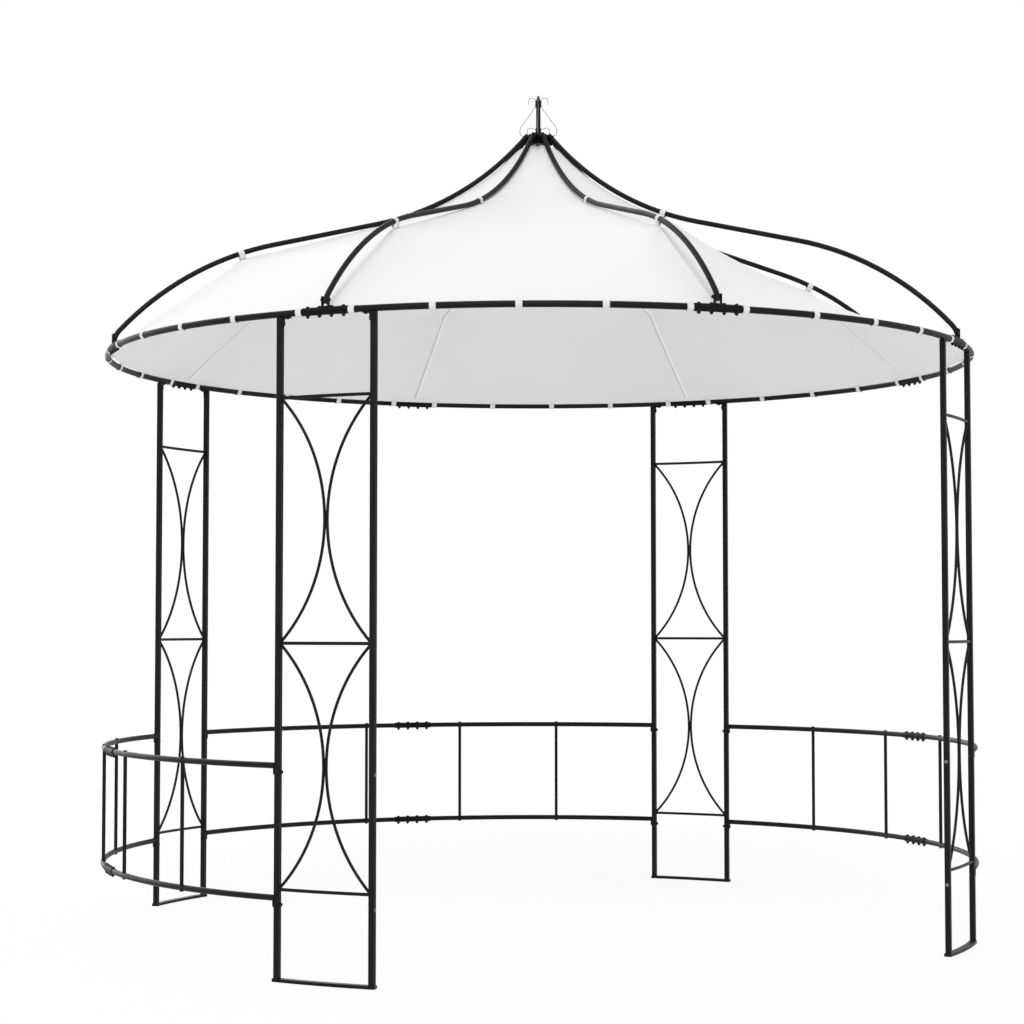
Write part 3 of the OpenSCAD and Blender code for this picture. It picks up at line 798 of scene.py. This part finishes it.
# Cross bolts through the ribs' brackets on the ring and through the lugs of the hub.
EAR_BOLT_DOWN = 10 * MM
LUG_BOLT_DOWN = 7.8 * MM
LUG_BOLT_OUT = 14 * MM
ear_bolt_h = ear_top - EAR_BOLT_DOWN
ear_bolt_r = bar_middle("rib_1", (ring_r, 0, ear_bolt_h), (0.1, 0, 0)).x
hub_bolt_h = lug_top - LUG_BOLT_DOWN
hub_bolt_r = rib_top_r + LUG_BOLT_OUT
cross_bolts = Piece("rib_cross_bolts", "connector_steel")
for i in range(8):
    for r, h in ((ear_bolt_r, ear_bolt_h), (hub_bolt_r, hub_bolt_h)):
        fasten(cross_bolts, head_mesh, i * EIGHTH, r, ear_face, h, (0, 1, 0))
        fasten(cross_bolts, nut_mesh, i * EIGHTH, r, -ear_face, h, (0, -1, 0))
cross_bolts.make(bolt_coat)


def top_end(name):
    """The middle of a rib's top end, and the way it faces."""
    tilt = rib_slope(rib_top_r + 30 * MM)
    points = coords(name)
    out = points[np.hypot(points[:, 0], points[:, 1]).argmin()]
    angle = round(math.atan2(out[1], out[0]) / EIGHTH) * EIGHTH
    level = math.cos(tilt)
    way = np.array([-math.cos(angle) * level, -math.sin(angle) * level, math.sin(tilt)])
    along = points @ way
    return points[along > along.max() - 0.1 * MM].mean(axis=0), way


caps = Piece("rib_end_caps", "connector_steel")
for i in range(8):
    end, way = top_end(f"rib_{i + 1}")
    caps.add(*cap_mesh, matrix=stand(end, way))
caps.make(sleeve_coat)

# Corner brackets: a bolt up into the ring and one into the upright. Rail tabs: a bolt
# through the upright, its nut on the panel's inner side.
PANEL_HALF = 157 * MM
panel_points = coords("post_panel_rear_right_upper") @ np.array([-1, 1, 0]) / math.sqrt(2)
upright_half = np.abs(panel_points).max() - PANEL_HALF
TAB_OUT = 3.3 * MM
panel_r = math.sqrt(ring_r ** 2 - PANEL_HALF ** 2)
ring_under = ring_h - ring_tube / 2
BRACKET_T = 3 * MM
BRACKET_BOLT = 17 * MM
BRACKET_BOLT_OUT = 2 * MM
TAB_BOLT_DOWN = 18.5 * MM
corner_bolts = Piece("corner_bracket_bolts", "connector_steel")
tab_bolts = Piece("rail_tab_bolts", "connector_steel")
inserts = Piece("entrance_inserts", "connector_steel")
for quarter in range(4):
    angle = EIGHTH * (2 * quarter + 1)
    for side in (-1, 1):
        inner = side * (PANEL_HALF - upright_half)
        aside, h = inner - side * BRACKET_BOLT, ring_under - BRACKET_T
        fasten(corner_bolts, head_mesh, angle, panel_r + BRACKET_BOLT_OUT, aside, h, DOWN)
        aside, h = inner - side * BRACKET_T, ring_under - BRACKET_BOLT
        fasten(corner_bolts, head_mesh, angle, panel_r, aside, h, (0, -side, 0))
        entrance = (quarter == 2 and side > 0) or (quarter == 3 and side < 0)
        for h in rail_heights:
            bolt_h = h - TAB_BOLT_DOWN
            if entrance:
                outer = side * (PANEL_HALF + upright_half)
                fasten(inserts, insert_mesh, angle, panel_r, outer, bolt_h, (0, side, 0))
            else:
                outer = side * (PANEL_HALF + upright_half + TAB_OUT)
                fasten(tab_bolts, head_mesh, angle, panel_r, outer, bolt_h, (0, side, 0))
                fasten(tab_bolts, nut_mesh, angle, panel_r, inner, bolt_h, (0, -side, 0))
corner_bolts.make(bolt_coat)
tab_bolts.make(bolt_coat)
inserts.make(insert_coat)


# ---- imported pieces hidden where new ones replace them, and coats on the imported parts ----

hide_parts("canopy")
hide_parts("ring_straps")
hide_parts("rib_straps")

for name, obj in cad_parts.items():
    coat = sleeve_coat if "connector" in name or name in ("corner_brackets", "hub") else frame_coat
    coat = finial_coat if name == "finial" else coat
    for k in range(max(1, len(obj.material_slots))):
        if obj.material_slots:
            obj.material_slots[k].material = coat
        else:
            obj.data.materials.append(coat)


# ---- floor, light and camera ----

SKY = 0.76
KEY = 1.15
KEY_AZIMUTH, KEY_ELEVATION = -118, 42
BACK = 1.3
BACK_AZIMUTH, BACK_ELEVATION = 105, 20
FLOOR_TONE = 0.9
FLOOR_GLOW = 0.85
# What a lit white floor shows: the sky's light and the lamps'.
FLOOR_LIGHT = (SKY + KEY / math.pi * math.sin(math.radians(KEY_ELEVATION))
               + BACK / math.pi * math.sin(math.radians(BACK_ELEVATION)))


def stage_floor():
    """White to the camera far off, with the object's shadow in a share of plain paint."""
    size = 40
    mesh = bpy.data.meshes.new("studio_floor")
    corners = [(-size, -size, 0), (size, -size, 0), (size, size, 0), (-size, size, 0)]
    mesh.from_pydata(corners, [], [(0, 1, 2, 3)])
    floor = bpy.data.objects.new("studio_floor", mesh)
    floor.location.z = cad_box[0].z - 0.5 * MM
    bpy.context.scene.collection.objects.link(floor)
    s = Shade("floor_white")
    path = s.add("LightPath").outputs
    seen = s.math("MAXIMUM", path["Is Camera Ray"], path["Is Glossy Ray"])
    seen = s.math("MAXIMUM", seen, path["Is Transmission Ray"])
    paint = s.add("BsdfDiffuse", {"Color": grey(FLOOR_TONE)})
    strength = (1 - (1 - FLOOR_GLOW) * FLOOR_TONE * FLOOR_LIGHT) / FLOOR_GLOW
    glow = s.add("Emission", {"Color": grey(1), "Strength": strength})
    share = s.math("MULTIPLY", seen, FLOOR_GLOW)
    mixed = s.add("MixShader", {0: share, 1: paint.outputs[0], 2: glow.outputs[0]})
    mesh.materials.append(s.finish(mixed.outputs[0]))


def stage_world(strength):
    """White to the camera and in reflections, and a plain soft light on the object."""
    world = bpy.data.worlds.new("studio")
    bpy.context.scene.world = world
    world.use_nodes = True
    tree = world.node_tree
    tree.nodes.clear()
    path = tree.nodes.new("ShaderNodeLightPath")
    first = tree.nodes.new("ShaderNodeMath")
    second = tree.nodes.new("ShaderNodeMath")
    first.operation = second.operation = "MAXIMUM"
    tree.links.new(path.outputs["Is Camera Ray"], first.inputs[0])
    tree.links.new(path.outputs["Is Glossy Ray"], first.inputs[1])
    tree.links.new(first.outputs[0], second.inputs[0])
    tree.links.new(path.outputs["Is Transmission Ray"], second.inputs[1])
    level = tree.nodes.new("ShaderNodeMapRange")
    level.inputs["To Min"].default_value = strength
    level.inputs["To Max"].default_value = 1
    tree.links.new(second.outputs[0], level.inputs["Value"])
    sky = tree.nodes.new("ShaderNodeBackground")
    sky.inputs["Color"].default_value = grey(1)
    tree.links.new(level.outputs["Result"], sky.inputs["Strength"])
    out = tree.nodes.new("ShaderNodeOutputWorld")
    tree.links.new(sky.outputs[0], out.inputs["Surface"])


def lamp(name, azimuth, elevation, energy, spread):
    """A soft sun that shines from an azimuth and elevation, in degrees."""
    light = bpy.data.lights.new(name, "SUN")
    light.energy = energy
    light.angle = math.radians(spread)
    obj = bpy.data.objects.new(name, light)
    a, e = math.radians(azimuth), math.radians(elevation)
    source = Vector((math.cos(a) * math.cos(e), math.sin(a) * math.cos(e), math.sin(e)))
    obj.rotation_euler = source.to_track_quat("Z", "Y").to_euler()
    bpy.context.scene.collection.objects.link(obj)


stage_floor()
stage_world(SKY)
lamp("key", KEY_AZIMUTH, KEY_ELEVATION, KEY, 30)
lamp("back", BACK_AZIMUTH, BACK_ELEVATION, BACK, 60)

CAMERA_AT = (-2.72325, -7.33464, 1.02974)
CAMERA_YAW = 0.34364
CAMERA_PITCH = 0.05095
CAMERA_LENS = 78.69
camera = bpy.data.objects.new("camera", bpy.data.cameras.new("camera"))
camera.location = CAMERA_AT
camera.rotation_euler = (math.pi / 2 + CAMERA_PITCH, 0, -CAMERA_YAW)
camera.data.sensor_width = 36
camera.data.lens = CAMERA_LENS
camera.data.clip_end = 200
bpy.context.scene.collection.objects.link(camera)
bpy.context.scene.camera = camera
bpy.context.scene.view_settings.view_transform = "Standard"
